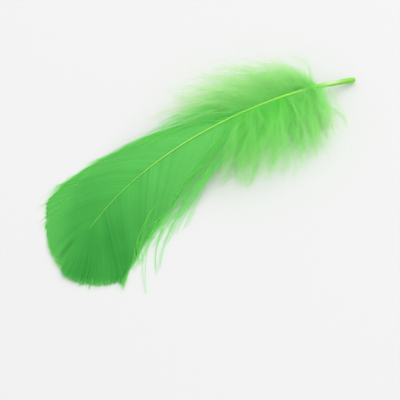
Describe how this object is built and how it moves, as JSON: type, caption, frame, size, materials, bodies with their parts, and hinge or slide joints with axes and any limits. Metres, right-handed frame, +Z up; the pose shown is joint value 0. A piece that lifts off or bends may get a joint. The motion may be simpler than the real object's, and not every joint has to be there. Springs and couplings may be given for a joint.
{
  "type": "feather",
  "caption": "Curved body feather lying convex side up: bare quill end, thin shaft, downy base and a broad vane with a blunt tip.",
  "frame": {"origin": "on the surface the feather lies on, under the middle of its bounding box", "axes": "+X along the feather's length towards the quill end, +Z up, away from the surface it lies on, +Y towards the outer, convex edge of its curve"},
  "size_m": [0.1202, 0.0518, 0.0119],
  "materials": {
    "feather": "soft satin, dyed green keratin barbs with a paler glossy quill"
  },
  "bodies": {
    "root": {"feather": "feather"}
  },
  "joints": []
}
